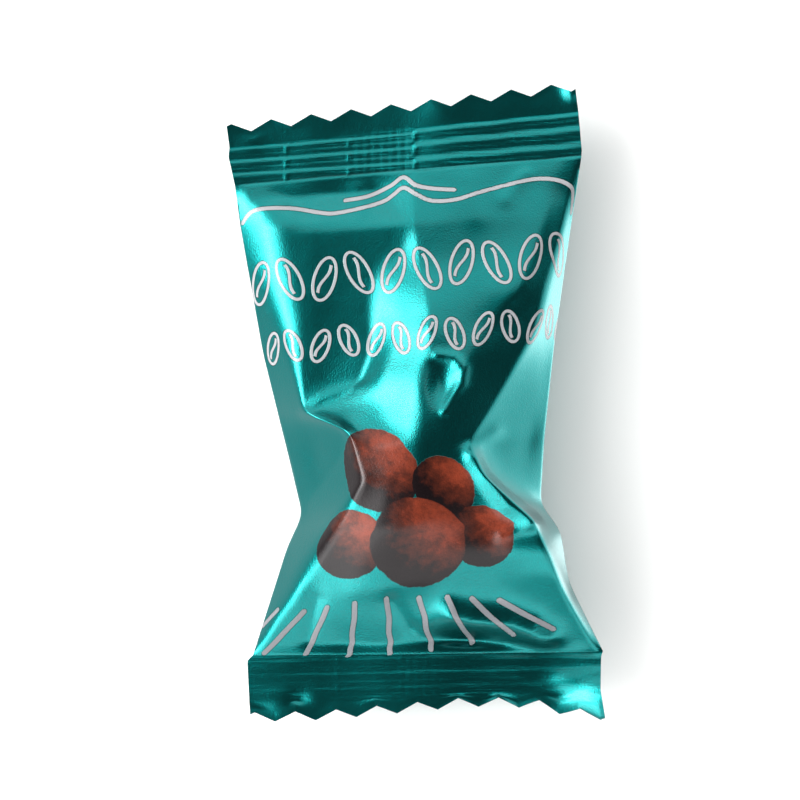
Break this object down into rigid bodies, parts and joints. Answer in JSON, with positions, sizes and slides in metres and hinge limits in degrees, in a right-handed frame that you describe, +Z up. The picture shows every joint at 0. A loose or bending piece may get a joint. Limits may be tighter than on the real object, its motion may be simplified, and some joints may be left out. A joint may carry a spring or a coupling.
{
  "type": "sealed pillow pack of one chocolate truffle",
  "caption": "Sealed pillow pack of metallised film, drawn tight over a chocolate truffle, with crimped seals, zigzag cut ends and a folded back seam.",
  "frame": {"origin": "centre of the bounding box in plan, on the table the pack lies on", "axes": "X across the pack, +Y along it towards the upper seal, +Z up from the table, out of the printed face"},
  "size_m": [0.0398, 0.067, 0.0181],
  "materials": {
    "teal_film": "metallised teal film, gloss"
  },
  "bodies": {
    "root": {"pillow_pack": "teal_film"}
  },
  "joints": []
}
